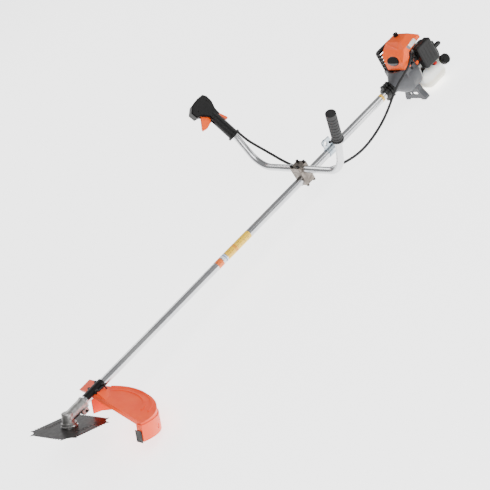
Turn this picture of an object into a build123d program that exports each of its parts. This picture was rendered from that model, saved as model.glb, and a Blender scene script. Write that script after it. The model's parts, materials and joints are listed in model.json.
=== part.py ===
"""Straight-shaft brush cutter with a bicycle handlebar, a four-tip blade and a small petrol engine.

Every piece is drawn in the machine's own axes: X runs back along the shaft from the point where the
shaft axis meets the blade axis, Y is the operator's right, Z is up. At the end the whole machine is
tipped until it rests on the guard and the engine stand, with its origin at the middle of its footprint.
"""
from build123d import *
from math import atan2, cos, degrees, pi, radians, sin, tan
import os

# ---- fits ----
running_gap = 0.02      # radial play of a shaft in its bearing
slide_gap = 0.05        # radial play of a moving piece in a moulded hole
body_gap = 0.4          # air between a moving piece and its neighbours
seat_gap = 0.05         # clearance of a clamped piece on its tube

# ---- shaft ----
tube_d = 25.4
tube_wall = 1.5
tube_front = 27.0
tube_back = 1530.0
drive_d = 8.0
drive_back = 1550.0
bushing_count = 5
bushing_length = 14.0

# ---- gear head ----
head_angle = 26.0       # between the shaft and the blade plane
case_r = 18.0
socket_r = 17.0
socket_mouth = 67.0
case_wall = 3.0
case_top = 17.0
case_bottom = -18.5
foot_r = 23.0
spindle_d = 10.0
spindle_end = -41.0
lower_bearing_r = 11.0
lower_bearing_h = 6.0
seal_h = 3.0
gear_ratio = 1.25       # turns of the shaft for one turn of the blade
cone_outer = 14.5       # distance of the teeth's outer end from the two axes' crossing
cone_inner = 9.5
gear_backlash = 0.3
pinion_bearing_r = 11.5
pinion_bearing_x = 16.0
pinion_bearing_h = 6.0

# ---- blade and its flanges ----
blade_d = 230.0
blade_bore = 25.4
blade_t = 1.6
blade_h = -27.6         # lower face of the blade
blade_spin = 33.5       # rest angle of the first tip from straight back, toward the left
tip_half = 11.5         # half angle of a forked tip
fork_depth = 11.0
waist_r = 90.0
teeth_per_side = 12
tooth_step = 4.5
slot_length = 72.0
slot_w = 3.0
slot_reach = 65.0       # distance of the outer slot from the blade axis
flange_r = 25.0
outer_flange_r = 21.0
outer_flange_h = 3.0
nut_af = 17.0
nut_h = 8.0

# ---- guard ----
guard_r = 132.0         # radius of the rim about its own centre
guard_centre = (72.5, -110.0)
guard_t = 3.0
guard_front = 86.5      # distance of the straight front edge from the blade axis
guard_right = 52.0      # rim angle where it meets the mount, toward the operator's right
guard_left = 84.0       # rim angle of its far end, toward the operator's left
guard_seam = -22.0      # height where the clip-on skirt takes over
guard_bottom = -58.0
guard_lip = 22.0        # length of the skirt's inward return
guard_top_mid = 50.0    # height of the roof over the shaft line
guard_slope = 14.0      # fall of the roof toward the left
mount_front = 100.0
mount_back = 142.0
mount_half = 24.0

# ---- handlebar ----
bar_x = 1076.0
bar_z = 30.0
bar_d = 22.0
bar_wall = 1.8
bar_sweep = 4.5         # lean of the bar's plane toward the operator
bar_bend = 85.0
grip_y = 252.0          # lower end of each grip, across
grip_z = 115.0          # lower end of each grip, above the bar
grip_lean = 26.0        # outward lean of the grips
grip_forward = 8.0      # forward lean of the grips out of the bar's plane
grip_straight = 15.0    # straight run of the bar below each grip
grip_length = 112.0
grip_d = 33.0
clamp_half_x = 20.0
clamp_half_y = 24.0
clamp_low = -18.0
clamp_high = 46.0
clamp_gap = 1.0

# ---- throttle handle ----
collar_d = 44.0
collar_h = 8.0
handle_d = 35.0
handle_half_w = 16.0
handle_bore = 82.0
trigger_w = 10.0
trigger_pin = (116.0, 22.0)
lock_pin = (94.0, -9.0)
pin_d = 4.0

# ---- hanger ----
hanger_x = 1206.0
hanger_w = 34.0
band_t = 2.5
eye_z = 30.0
eye_r = 13.0

# ---- engine ----
neck_front = 1519.0
housing_r = 54.0
housing_wall = 3.0
housing_back = 1612.0
collar_front = 1488.0
drum_r = 32.0
drum_wall = 2.0
drum_front = 1552.0
drum_back = 1570.0
flywheel_r = 47.0
flywheel_front = 1574.0
flywheel_back = 1590.0
crank_d = 12.0
crankcase_r = 34.0
crankcase_back = 1666.0
cylinder_x = 1640.0
cylinder_base = 34.5
cylinder_top = 80.0
bore_d = 36.0
fin_x = 56.0
fin_y = 62.0
fin_pitch = 6.0
fin_t = 2.0
stand_low = -95.0
stand_half = 46.0
stand_front = 1584.0
stand_back = 1604.0
filter_front = 1622.0
filter_back = 1688.0
filter_low = -3.0
filter_high = 78.0
filter_face = -82.0
filter_base_y = -60.0
tank_front = 1615.0
tank_back = 1712.0
tank_half = 60.0
tank_low = -83.0
tank_high = -14.0
cap_x = 1704.0
cap_y = -60.0
cap_z = -30.0
cap_d = 34.0
cap_tilt = 25.0
cap_lift = 9.0          # how far the cap stands off the tank
starter_front = 1670.0
starter_back = 1722.0
starter_r = 46.0
pulley_x = 1702.0
pulley_r = 26.0
rope_d = 3.5
pull_travel = 50.0
cover_t = 2.5
cover_low = 36.4
knob_x = 1640.0
knob_y = 6.0
knob_z = 116.8
knob_r = 8.0
knob_stem_r = 2.5
screw_d = 5.0
primer_x = 1668.0
primer_y = -64.5
primer_z = -12.0
primer_r = 5.5
primer_travel = 3.0

tube_r = tube_d / 2
head_sin = sin(radians(head_angle))
head_cos = cos(radians(head_angle))
head_axis = Vector(head_sin, 0, head_cos)
head_back = Vector(head_cos, 0, -head_sin)
head_line = Axis((0, 0, 0), tuple(head_axis))


def across(x, y=0, z=0):
    """Plane square to the shaft: its x is the machine's Y, its y is up, and it extrudes to the rear."""
    return Plane(origin=(x, y, z), x_dir=(0, 1, 0), z_dir=(1, 0, 0))


def side(y, x=0, z=0):
    """Upright plane along the shaft: its x is the machine's X, its y is up, it extrudes to the left."""
    return Plane(origin=(x, y, z), x_dir=(1, 0, 0), z_dir=(0, -1, 0))


def level(z, x=0, y=0):
    """Level plane at height z."""
    return Plane(origin=(x, y, z), x_dir=(1, 0, 0), z_dir=(0, 0, 1))


def head(h, back=0, y=0):
    """Plane square to the blade axis at height h: its x points back, its y to the operator's right."""
    origin = head_axis * h + head_back * back + Vector(0, y, 0)
    return Plane(origin=origin, x_dir=head_back, z_dir=head_axis)


bar_plane = Plane(
    origin=(bar_x, 0, bar_z),
    x_dir=(0, 1, 0),
    z_dir=(cos(radians(bar_sweep)), 0, -sin(radians(bar_sweep))),
)


def grip_frame(hand):
    """Foot and direction of a grip, hand = 1 on the right and -1 on the left."""
    foot = bar_plane.from_local_coords((hand * grip_y, grip_z, 0))
    lean = radians(grip_lean)
    ahead = radians(grip_forward)
    step = (hand * (grip_y + sin(lean) * cos(ahead)), grip_z + cos(lean) * cos(ahead), -sin(ahead))
    return foot, bar_plane.from_local_coords(step) - foot


def grip_section(hand, s):
    """Plane square to a grip's axis, s along it from its foot."""
    foot, axis = grip_frame(hand)
    return Plane(origin=foot + axis * s, x_dir=bar_plane.z_dir, z_dir=axis)


def handle_plane():
    """Middle plane of the throttle handle: x along the grip, y forward toward the trigger."""
    foot, axis = grip_frame(1)
    forward = bar_plane.z_dir * -1
    return Plane(origin=foot, x_dir=axis, z_dir=axis.cross(forward))


def ring(plane, outer, inner, length):
    """Plain ring on a plane."""
    with BuildPart() as made:
        with BuildSketch(plane):
            Circle(outer)
            Circle(inner, mode=Mode.SUBTRACT)
        extrude(amount=length)
    return made


# ================================ shaft ================================

with BuildPart() as shaft_tube:
    with BuildSketch(across(tube_front)):
        Circle(tube_r)
        Circle(tube_r - tube_wall, mode=Mode.SUBTRACT)
    extrude(amount=tube_back - tube_front)
shaft_tube.part.label = "shaft_tube"

pinion_cone = degrees(atan2(cos(radians(head_angle)), gear_ratio - sin(radians(head_angle))))
gear_cone = 90 + head_angle - pinion_cone
pinion_big_x = cone_outer * cos(radians(pinion_cone))
pinion_big_r = cone_outer * sin(radians(pinion_cone))
pinion_small_x = cone_inner * cos(radians(pinion_cone))
pinion_small_r = cone_inner * sin(radians(pinion_cone))

with BuildPart() as drive_shaft:
    with BuildSketch(across(pinion_small_x + 1)):
        Circle(drive_d / 2)
    extrude(amount=drive_back - pinion_small_x - 1)
drive_shaft.part.label = "drive_shaft"

with BuildPart() as shaft_bushings:
    bushing_pitch = (tube_back - tube_front) / bushing_count
    for number in range(bushing_count):
        with BuildSketch(across(tube_front + bushing_pitch * (number + 0.5))):
            Circle(tube_r - tube_wall)
            Circle(drive_d / 2 + slide_gap, mode=Mode.SUBTRACT)
        extrude(amount=bushing_length)
shaft_bushings.part.label = "shaft_bushings"

# ================================ gear head ================================

with BuildPart() as gearcase:
    with BuildSketch(head(case_bottom)):
        Circle(case_r)
    extrude(amount=case_top - case_bottom)
    fillet(gearcase.faces().sort_by(head_line)[-1].edges(), radius=5)
    with BuildSketch(head(case_bottom)):
        Circle(foot_r)
    extrude(amount=5)
    with BuildSketch(across(4)):
        Circle(socket_r)
    extrude(amount=socket_mouth - 4)
    with BuildSketch(across(socket_mouth - 6)):
        Circle(socket_r + 1.5)
    extrude(amount=6)
    with BuildSketch(side(9, 52, -socket_r - 4)):
        RectangleRounded(22, 14, 3)
    extrude(amount=18)
    with BuildSketch(side(2 - case_r, 0, 2)):
        RegularPolygon(5, 6)
    extrude(amount=5)
    with BuildSketch(head(case_bottom)):
        Circle(lower_bearing_r)
    extrude(amount=lower_bearing_h + seal_h, mode=Mode.SUBTRACT)
    with BuildSketch(head(case_bottom + lower_bearing_h + seal_h)):
        Circle(case_r - case_wall)
    extrude(amount=10.5, mode=Mode.SUBTRACT)
    with BuildSketch(across(0)):
        Circle(pinion_bearing_r)
    extrude(amount=pinion_bearing_x + pinion_bearing_h, mode=Mode.SUBTRACT)
    with BuildSketch(across(pinion_bearing_x + pinion_bearing_h)):
        Circle(drive_d / 2 + 2)
    extrude(amount=5, mode=Mode.SUBTRACT)
    with BuildSketch(across(tube_front)):
        Circle(tube_r + seat_gap)
    extrude(amount=socket_mouth, mode=Mode.SUBTRACT)
    with BuildSketch(across(40, 0, -socket_r)):
        Rectangle(2, 30)
    extrude(amount=40, mode=Mode.SUBTRACT)
    with BuildSketch(side(12, 54, -socket_r - 6)):
        Circle(screw_d / 2)
    extrude(amount=24, mode=Mode.SUBTRACT)
gearcase.part.label = "gearcase"

with BuildPart() as head_bearings:
    for plane, outer, inner, length in (
        (across(pinion_bearing_x), pinion_bearing_r, drive_d / 2, pinion_bearing_h),
        (head(case_bottom + seal_h), lower_bearing_r, spindle_d / 2, lower_bearing_h),
    ):
        with BuildSketch(plane):
            Circle(outer)
            Circle(inner + running_gap, mode=Mode.SUBTRACT)
        extrude(amount=length)
head_bearings.part.label = "head_bearings"

gear_drop = cone_outer * cos(radians(gear_cone))
gear_big_r = cone_outer * sin(radians(gear_cone))
gear_rise = cone_inner * cos(radians(gear_cone))
gear_small_r = cone_inner * sin(radians(gear_cone))

with BuildPart() as bevel_pinion:
    with BuildSketch(Plane.XZ):
        with BuildLine():
            Polyline(
                (pinion_small_x + gear_backlash, drive_d / 2),
                (pinion_small_x + gear_backlash, pinion_small_r - gear_backlash),
                (pinion_big_x, pinion_big_r - 2 * gear_backlash),
                (pinion_big_x + 2, pinion_big_r - 2),
                (pinion_bearing_x, drive_d / 2 + 3),
                (pinion_bearing_x, drive_d / 2),
                close=True,
            )
        make_face()
    revolve(axis=Axis.X)
    with BuildSketch(across(pinion_small_x - 1)):
        with PolarLocations(pinion_big_r, 14):
            Circle(0.8)
    extrude(amount=pinion_bearing_x - pinion_small_x - 2, mode=Mode.SUBTRACT)
bevel_pinion.part.label = "bevel_pinion"

gear_plane = Plane(origin=(0, 0, 0), x_dir=head_back, z_dir=(0, 1, 0))
with BuildPart() as output_spindle:
    with BuildSketch(gear_plane):
        Polygon(
            (0, gear_rise + gear_backlash),
            (gear_small_r, gear_rise + gear_backlash),
            (gear_big_r, gear_drop + gear_backlash),
            (gear_big_r - 1, gear_drop + 2.8),
            (0, gear_drop + 2.8),
            align=None,
        )
    revolve(axis=head_line)
    with BuildSketch(head(-gear_drop - 3)):
        with PolarLocations(gear_big_r, 18):
            Circle(0.8)
    extrude(amount=6, mode=Mode.SUBTRACT)
    with BuildSketch(head(spindle_end)):
        Circle(spindle_d / 2)
    extrude(amount=-gear_rise - gear_backlash - spindle_end)
    chamfer(output_spindle.faces().sort_by(head_line)[0].edges(), length=1)
output_spindle.part.label = "output_spindle"

# ================================ blade ================================

blade_top = blade_h + blade_t

with BuildPart() as drive_flange:
    with BuildSketch(head(blade_top)):
        Circle(flange_r)
        Circle(spindle_d / 2, mode=Mode.SUBTRACT)
    extrude(amount=case_bottom - body_gap - blade_top)
    chamfer(drive_flange.faces().sort_by(head_line)[-1].edges().sort_by(SortBy.LENGTH)[-1], length=3)
    with BuildSketch(head(blade_top - blade_t + 0.2)):
        Circle(blade_bore / 2 - seat_gap)
        Circle(spindle_d / 2, mode=Mode.SUBTRACT)
    extrude(amount=blade_t - 0.2)
drive_flange.part.label = "drive_flange"


def blade_points():
    """Outline of the blade: four forked tips, and between them stepped saw teeth along a shallow waist."""
    points = []
    tip_r = blade_d / 2
    for arm in range(4):
        tip = -(blade_spin + 90 * arm)
        for turn, r in ((tip_half, tip_r), (4, tip_r - fork_depth), (-4, tip_r - fork_depth), (-tip_half, tip_r)):
            points.append((r, tip + turn))
        free = 90 - 2 * tip_half
        for tooth in range(teeth_per_side):
            start = tip - tip_half - free * (tooth + 0.15) / teeth_per_side
            end = tip - tip_half - free * (tooth + 0.95) / teeth_per_side
            middle = abs(2 * (tooth + 0.5) / teeth_per_side - 1)
            r = waist_r + (tip_r - waist_r - 8) * middle ** 2
            points.append((r - tooth_step / 2, start))
            points.append((r + tooth_step / 2, end))
    return [(r * cos(radians(a)), r * sin(radians(a))) for r, a in points]


with BuildPart() as blade:
    with BuildSketch(head(blade_h)):
        with BuildLine():
            Polyline(*blade_points(), close=True)
        make_face()
        Circle(blade_bore / 2, mode=Mode.SUBTRACT)
        for arm in (0, 2):
            turn = radians(-(blade_spin + 45 + 90 * arm))
            for reach, length in ((slot_reach - 8, slot_length * 0.85), (slot_reach, slot_length)):
                with Locations(Location((reach * cos(turn), reach * sin(turn)), degrees(turn) + 90)):
                    SlotOverall(length, slot_w, mode=Mode.SUBTRACT)
    extrude(amount=blade_t)
blade.part.label = "blade"

with BuildPart() as outer_flange:
    with BuildSketch(head(blade_h - outer_flange_h)):
        Circle(outer_flange_r)
        Circle(spindle_d / 2, mode=Mode.SUBTRACT)
    extrude(amount=outer_flange_h)
    chamfer(outer_flange.faces().sort_by(head_line)[0].edges().sort_by(SortBy.LENGTH)[-1], length=2)
outer_flange.part.label = "outer_flange"

with BuildPart() as blade_nut:
    with BuildSketch(head(blade_h - outer_flange_h - nut_h)):
        RegularPolygon(nut_af / 2, 6, major_radius=False)
        Circle(spindle_d / 2, mode=Mode.SUBTRACT)
    extrude(amount=nut_h)
    with BuildSketch(head(blade_h - outer_flange_h - 2)):
        Circle(nut_af / 2 + 3)
        Circle(spindle_d / 2, mode=Mode.SUBTRACT)
    extrude(amount=2)
blade_nut.part.label = "blade_nut"

# ================================ guard ================================

def polar(r, angle):
    """Point on a head plane, angle from straight back, positive toward the operator's right."""
    return (r * cos(radians(angle)), r * sin(radians(angle)))


def rim(r, angle):
    """Point on a head plane at a radius and angle about the rim's own centre."""
    step = polar(r, angle)
    return (guard_centre[0] + step[0], guard_centre[1] + step[1])


rim_middle = (guard_right - guard_left) / 2
rim_left = rim(guard_r, -guard_left)
return_corner = (rim_left[0], rim_left[1] + guard_lip)
roof_plane = Plane(origin=head_axis * guard_top_mid, x_dir=head_back, z_dir=head_axis).rotated((guard_slope, 0, 0))
front_plane = Plane(origin=head_back * (guard_front - 6), x_dir=(0, 1, 0), z_dir=head_back)

strap_r = tube_r + 3
strap_ear = 9.0
strap_screw_y = strap_r + strap_ear / 2 + 0.5
strap_screw_x = (mount_front + 9, mount_back - 5)


def guard_block(inset, low):
    """Block under the guard's roof from height low up, its roof and sides set in by inset."""
    with BuildPart() as made:
        with BuildSketch(head(low)):
            with BuildLine():
                ThreePointArc(rim(guard_r, guard_right), rim(guard_r, rim_middle), rim_left)
                Polyline(
                    rim_left,
                    (guard_front, -mount_half),
                    (guard_front, mount_half),
                    (guard_front + 40, mount_half),
                    rim(guard_r, guard_right),
                )
            make_face()
            if inset:
                offset(amount=-inset, kind=Kind.INTERSECTION)
        extrude(amount=100)
        split(bisect_by=roof_plane.offset(-inset), keep=Keep.BOTTOM)
    return made


with BuildPart() as guard:
    add(guard_block(0, guard_seam).part)
    add(guard_block(guard_t, guard_seam - 1).part, mode=Mode.SUBTRACT)
    with BuildSketch(front_plane):
        with BuildLine():
            Polyline(
                (mount_half + 20, guard_top_mid - 8),
                (-mount_half, guard_top_mid - 20),
                (return_corner[1] + guard_t, guard_seam + 9),
                (return_corner[1] + guard_t, guard_seam - 10),
                (mount_half + 20, guard_seam - 10),
                close=True,
            )
        make_face()
    extrude(amount=16, mode=Mode.SUBTRACT)
    with BuildSketch(roof_plane):
        with Locations(guard_centre):
            for rib_r in (guard_r - 13, guard_r - 34):
                Circle(rib_r)
                Circle(rib_r - 5, mode=Mode.SUBTRACT)
        Polygon(guard_centre, rim(400, 48), rim(400, -20), rim(400, -66), align=None, mode=Mode.INTERSECT)
    extrude(amount=1.8)
    with BuildSketch(Plane(origin=head_back * (guard_front + 3), x_dir=(0, 1, 0), z_dir=head_back)):
        Polygon((-14, 60), (-14, 40), (-76, 26), (-76, 31), align=None)
    extrude(amount=42, taper=10)
    with BuildSketch(side(mount_half)):
        with BuildLine():
            Polyline(
                (mount_front + 2, -0.5),
                (mount_back + 4, -0.5),
                (mount_back + 16, -21),
                (mount_front + 8, -16),
                close=True,
            )
        make_face()
    extrude(amount=-2 * mount_half)
    with BuildSketch(across(0)):
        Circle(tube_r + seat_gap)
    extrude(amount=mount_back + 80, mode=Mode.SUBTRACT)
    with BuildSketch(level(0.5, (mount_front + mount_back) / 2)):
        Rectangle(80, 2 * mount_half + 12)
    extrude(amount=20, mode=Mode.SUBTRACT)
    with BuildSketch(level(-14)):
        with Locations(*[(x, y) for x in strap_screw_x for y in (-strap_screw_y, strap_screw_y)]):
            Circle(screw_d / 2 - 0.3)
    extrude(amount=20, mode=Mode.SUBTRACT)
guard.part.label = "guard"

skirt_from = 34.0
skirt_wedge = (
    guard_centre, rim(2 * guard_r, skirt_from), rim(2 * guard_r, -guard_left / 2), rim(2 * guard_r, -guard_left),
)

with BuildPart() as guard_skirt:
    with BuildSketch(head(guard_bottom)):
        with Locations(guard_centre):
            Circle(guard_r + guard_t)
            Circle(guard_r + 0.2, mode=Mode.SUBTRACT)
        Polygon(*skirt_wedge, align=None, mode=Mode.INTERSECT)
        Polygon(
            rim(guard_r + guard_t, 0.5 - guard_left),
            rim(guard_r + guard_t, -guard_left - 1),
            (return_corner[0] - 0.2 - guard_t, return_corner[1]),
            (return_corner[0] - 0.2, return_corner[1]),
            (rim_left[0] - 0.2, rim_left[1] - 0.1),
            rim(guard_r + 0.4, 0.5 - guard_left),
            align=None,
        )
    extrude(amount=guard_seam + 11 - guard_bottom)
    for turn in (-36, -52):
        spot = rim(guard_r, turn)
        outward = head_back * cos(radians(turn)) + Vector(0, sin(radians(turn)), 0)
        window = head_axis * (guard_seam - 16) + head_back * spot[0] + Vector(0, spot[1], 0)
        with BuildSketch(Plane(origin=window, x_dir=head_axis, z_dir=outward)):
            RectangleRounded(14, 8, 2)
        extrude(amount=12, both=True, mode=Mode.SUBTRACT)
guard_skirt.part.label = "guard_skirt"

cutter_face = return_corner[0] - 0.25 - guard_t
cutter_slant = (return_corner[0] - rim_left[0]) / guard_lip
with BuildPart() as line_cutter:
    with BuildSketch(head(guard_bottom - 4)):
        Polygon(
            (cutter_face + 8 * cutter_slant, return_corner[1] + 8),
            (cutter_face - 22 * cutter_slant, return_corner[1] - 22),
            (cutter_face - 22 * cutter_slant - 1.8, return_corner[1] - 22),
            (cutter_face + 8 * cutter_slant - 1.8, return_corner[1] + 8),
            align=None,
        )
    extrude(amount=34)
line_cutter.part.label = "line_cutter"

with BuildPart() as guard_clamp:
    with BuildSketch(across(76)):
        Circle(strap_r)
        with Locations((0, 1)):
            Rectangle(2 * strap_r + 2 * strap_ear, 3, mode=Mode.ADD, align=(Align.CENTER, Align.MIN))
        Circle(tube_r + seat_gap, mode=Mode.SUBTRACT)
        with Locations((0, 1)):
            Rectangle(80, 60, align=(Align.CENTER, Align.MIN), mode=Mode.INTERSECT)
    extrude(amount=mount_back + 3 - 76)
    with BuildSketch(level(-1, 76, 0)):
        with Locations((0, strap_r + 10), (0, -strap_r - 10)):
            Rectangle(2 * (mount_front - 76), 20)
    extrude(amount=10, mode=Mode.SUBTRACT)
    with BuildSketch(level(0)):
        with Locations(*[(x, y) for x in strap_screw_x for y in (-strap_screw_y, strap_screw_y)]):
            Circle(screw_d / 2 - 0.3)
    extrude(amount=6, mode=Mode.SUBTRACT)
guard_clamp.part.label = "guard_clamp"

with BuildPart() as guard_screws:
    for x in strap_screw_x:
        for y in (-strap_screw_y, strap_screw_y):
            with BuildSketch(level(4, x, y)):
                Circle(screw_d * 0.9)
                RegularPolygon(screw_d * 0.45, 6, mode=Mode.SUBTRACT)
            extrude(amount=5)
            with BuildSketch(level(4, x, y)):
                Circle(screw_d * 0.6)
            extrude(amount=2)
            with BuildSketch(level(-12, x, y)):
                Circle(screw_d / 2 - 0.5)
            extrude(amount=16)
guard_screws.part.label = "guard_screws"

# ================================ handlebar ================================

corner_y = grip_y - grip_z * tan(radians(grip_lean))
left_foot, left_axis = grip_frame(-1)
right_foot, right_axis = grip_frame(1)
elbow_bend = 90.0

with BuildPart() as handlebar:
    with BuildLine() as bar_line:
        FilletPolyline(
            left_foot + left_axis * grip_length,
            left_foot - left_axis * grip_straight,
            bar_plane.from_local_coords((-corner_y, 0, 0)),
            bar_plane.from_local_coords((corner_y, 0, 0)),
            right_foot - right_axis * grip_straight,
            right_foot + right_axis * grip_length,
            radius=[elbow_bend, bar_bend, bar_bend, elbow_bend],
        )
    with BuildSketch(grip_section(-1, grip_length)):
        Circle(bar_d / 2)
        Circle(bar_d / 2 - bar_wall, mode=Mode.SUBTRACT)
    sweep(path=bar_line.wire())
    split(bisect_by=grip_section(1, handle_bore), keep=Keep.BOTTOM)
handlebar.part.label = "handlebar"


def clamp_block(low, high, half_x, half_y):
    """Cast block of the handlebar clamp between two heights, with saddles for the shaft and the bar."""
    with BuildPart() as made:
        with BuildSketch(level(low, bar_x)):
            RectangleRounded(2 * half_x, 2 * half_y, 6)
        extrude(amount=high - low)
        with BuildSketch(across(bar_x - 60)):
            Circle(tube_r + seat_gap)
        extrude(amount=120, mode=Mode.SUBTRACT)
        with BuildSketch(side(60, bar_x, bar_z)):
            Circle(bar_d / 2 + seat_gap)
        extrude(amount=120, mode=Mode.SUBTRACT)
    return made


clamp_bottom = clamp_block(clamp_low, -clamp_gap / 2, clamp_half_x, clamp_half_y - 4)
clamp_bottom.part.label = "clamp_bottom"
clamp_middle = clamp_block(clamp_gap / 2, bar_z - clamp_gap / 2, clamp_half_x, clamp_half_y)
clamp_middle.part.label = "clamp_middle"
clamp_cap = clamp_block(bar_z + clamp_gap / 2, clamp_high, clamp_half_x, clamp_half_y)
clamp_cap.part.label = "clamp_cap"

with BuildPart() as clamp_screws:
    for x in (bar_x - clamp_half_x + 5.5, bar_x + clamp_half_x - 5.5):
        for y in (-clamp_half_y + 8.5, clamp_half_y - 8.5):
            with BuildSketch(level(clamp_high, x, y)):
                Circle(4.5)
            extrude(amount=6)
            with BuildSketch(level(clamp_high + 3, x, y)):
                RegularPolygon(2.3, 6)
            extrude(amount=3, mode=Mode.SUBTRACT)
            with BuildSketch(level(clamp_low - 5, x, y)):
                Circle(4.5)
            extrude(amount=5)
clamp_screws.part.label = "clamp_screws"

with BuildPart() as left_grip:
    with BuildSketch(grip_section(-1, 0)):
        Circle(grip_d / 2)
    extrude(amount=grip_length + 4)
    with BuildSketch(grip_section(-1, 0)):
        Circle(grip_d / 2 + 3)
    extrude(amount=5)
    fillet(left_grip.edges().group_by(SortBy.LENGTH)[-1], radius=1.5)
    with BuildSketch(grip_section(-1, 0)):
        Circle(bar_d / 2 + 0.02)
    extrude(amount=grip_length, mode=Mode.SUBTRACT)
    for number in range(8):
        with BuildSketch(grip_section(-1, 14 + 12 * number)):
            Circle(grip_d / 2 + 1)
            Circle(grip_d / 2 - 1, mode=Mode.SUBTRACT)
        extrude(amount=2, mode=Mode.SUBTRACT)
left_grip.part.label = "left_grip"

# ================================ throttle handle ================================

middle = handle_plane()
head_step = 3.0
head_outline = (
    (84, -handle_d / 2), (104, -19), (128, -30), (150, -31), (163, -24),
    (166, 0), (163, 30), (149, 53), (126, 52), (121, 36), (100, handle_d / 2), (84, handle_d / 2),
)
trigger_outline = ((118, 34), (123, 28), (120, 16), (112, 15), (92, 18), (84, 26), (80, 48), (84, 64), (90, 62))
lock_outline = ((98, -11), (97, -5), (90, -4), (87, -12.5), (58, -21), (54, -24), (54, -29), (60, -30), (92, -18))


def handle_half(offset_sign):
    """One moulded half of the throttle handle: grip, collar and head, hollow for the bar and the levers."""
    with BuildPart() as made:
        with BuildSketch(grip_section(1, 0)):
            Circle(handle_d / 2)
        extrude(amount=100)
        for inset, half_w in ((0, handle_half_w - head_step), (head_step, handle_half_w)):
            with BuildSketch(middle.offset(-half_w)):
                Polygon(*head_outline, align=None)
                offset(amount=-inset, kind=Kind.INTERSECTION)
            extrude(amount=2 * half_w)
        with BuildSketch(grip_section(1, 0)):
            Circle(collar_d / 2)
        extrude(amount=collar_h)
        with BuildSketch(grip_section(1, 0)):
            Circle(bar_d / 2 + 0.02)
        extrude(amount=handle_bore, mode=Mode.SUBTRACT)
        with BuildSketch(middle.offset(-trigger_w / 2 - body_gap)):
            Polygon((72, 11.5), (88, 11.5), (92, 3), (128, 3), (130, 40), (122, 75), (72, 75), align=None)
        extrude(amount=trigger_w + 2 * body_gap, mode=Mode.SUBTRACT)
        with BuildSketch(middle.offset(-trigger_w / 2 - body_gap)):
            Polygon((48, -11.5), (83, -11.5), (83, -1), (102, -1), (102, -24), (96, -40), (48, -40), align=None)
        extrude(amount=trigger_w + 2 * body_gap, mode=Mode.SUBTRACT)
        split(bisect_by=middle, keep=Keep.TOP if offset_sign > 0 else Keep.BOTTOM)
        if offset_sign > 0:
            with BuildSketch(middle.offset(-trigger_w / 2 - body_gap)):
                with Locations(trigger_pin, lock_pin):
                    Circle(pin_d / 2)
            extrude(amount=trigger_w + 2 * body_gap)
    return made


handle_inner = handle_half(1)
handle_inner.part.label = "handle_inner"
handle_outer = handle_half(-1)
handle_outer.part.label = "handle_outer"

with BuildPart() as trigger:
    with BuildSketch(middle.offset(-trigger_w / 2)):
        Polygon(*trigger_outline, align=None)
        with Locations(trigger_pin):
            Circle(pin_d / 2 + running_gap, mode=Mode.SUBTRACT)
    extrude(amount=trigger_w)
trigger.part.label = "trigger"

with BuildPart() as lock_lever:
    with BuildSketch(middle.offset(-trigger_w / 2)):
        Polygon(*lock_outline, align=None)
        with Locations(lock_pin):
            Circle(pin_d / 2 + running_gap, mode=Mode.SUBTRACT)
    extrude(amount=trigger_w)
lock_lever.part.label = "lock_lever"

with BuildPart() as stop_switch:
    with BuildSketch(middle.offset(-handle_half_w - 3)):
        with Locations((142, -8)):
            RectangleRounded(16, 9, 2)
    extrude(amount=3 - body_gap)
stop_switch.part.label = "stop_switch"

# ================================ harness hanger ================================

with BuildPart() as hanger:
    with BuildSketch(across(hanger_x - hanger_w / 2)):
        Circle(tube_r + seat_gap + band_t)
        with Locations((0, tube_r)):
            Rectangle(2 * band_t + 1, 2 * 14, align=(Align.CENTER, Align.MIN))
        with Locations((0, tube_r)):
            Rectangle(1, 60, align=(Align.CENTER, Align.MIN), mode=Mode.SUBTRACT)
        Circle(tube_r + seat_gap, mode=Mode.SUBTRACT)
    extrude(amount=hanger_w)
    with BuildSketch(side(band_t + 0.5, hanger_x - 6, eye_z)):
        Circle(eye_r)
        Circle(eye_r - 6, mode=Mode.SUBTRACT)
    extrude(amount=band_t)
    with BuildSketch(side(10, hanger_x + 11, tube_r + 10)):
        Circle(screw_d / 2)
    extrude(amount=20, mode=Mode.SUBTRACT)
    with BuildSketch(side(10, hanger_x - 6, eye_z)):
        Circle(eye_r - 6)
    extrude(amount=20, mode=Mode.SUBTRACT)
hanger.part.label = "hanger"

with BuildPart() as tube_clamp_screws:
    for x, z, reach in ((54, -socket_r - 6, 9), (hanger_x + 11, tube_r + 10, band_t + 0.5)):
        with BuildSketch(side(reach + 5, x, z)):
            Circle(screw_d * 0.9)
            RegularPolygon(screw_d * 0.45, 6, mode=Mode.SUBTRACT)
        extrude(amount=4.5)
        with BuildSketch(side(reach + 0.5, x, z)):
            Circle(screw_d / 2 - 0.1)
        extrude(amount=2 * reach + 1)
        with BuildSketch(side(-reach, x, z)):
            RegularPolygon(screw_d * 0.9, 6)
        extrude(amount=3)
tube_clamp_screws.part.label = "tube_clamp_screws"

with BuildPart() as shaft_labels:
    for front, length, extra in ((653, 22, 0.25), (677, 17, 0.25), (697, 105, 0.25), (1462, 9, 0.25)):
        with BuildSketch(across(front)):
            Circle(tube_r + extra)
            Circle(tube_r, mode=Mode.SUBTRACT)
        extrude(amount=length)
shaft_labels.part.label = "shaft_labels"

# ================================ engine: clutch housing and stand ================================

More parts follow.
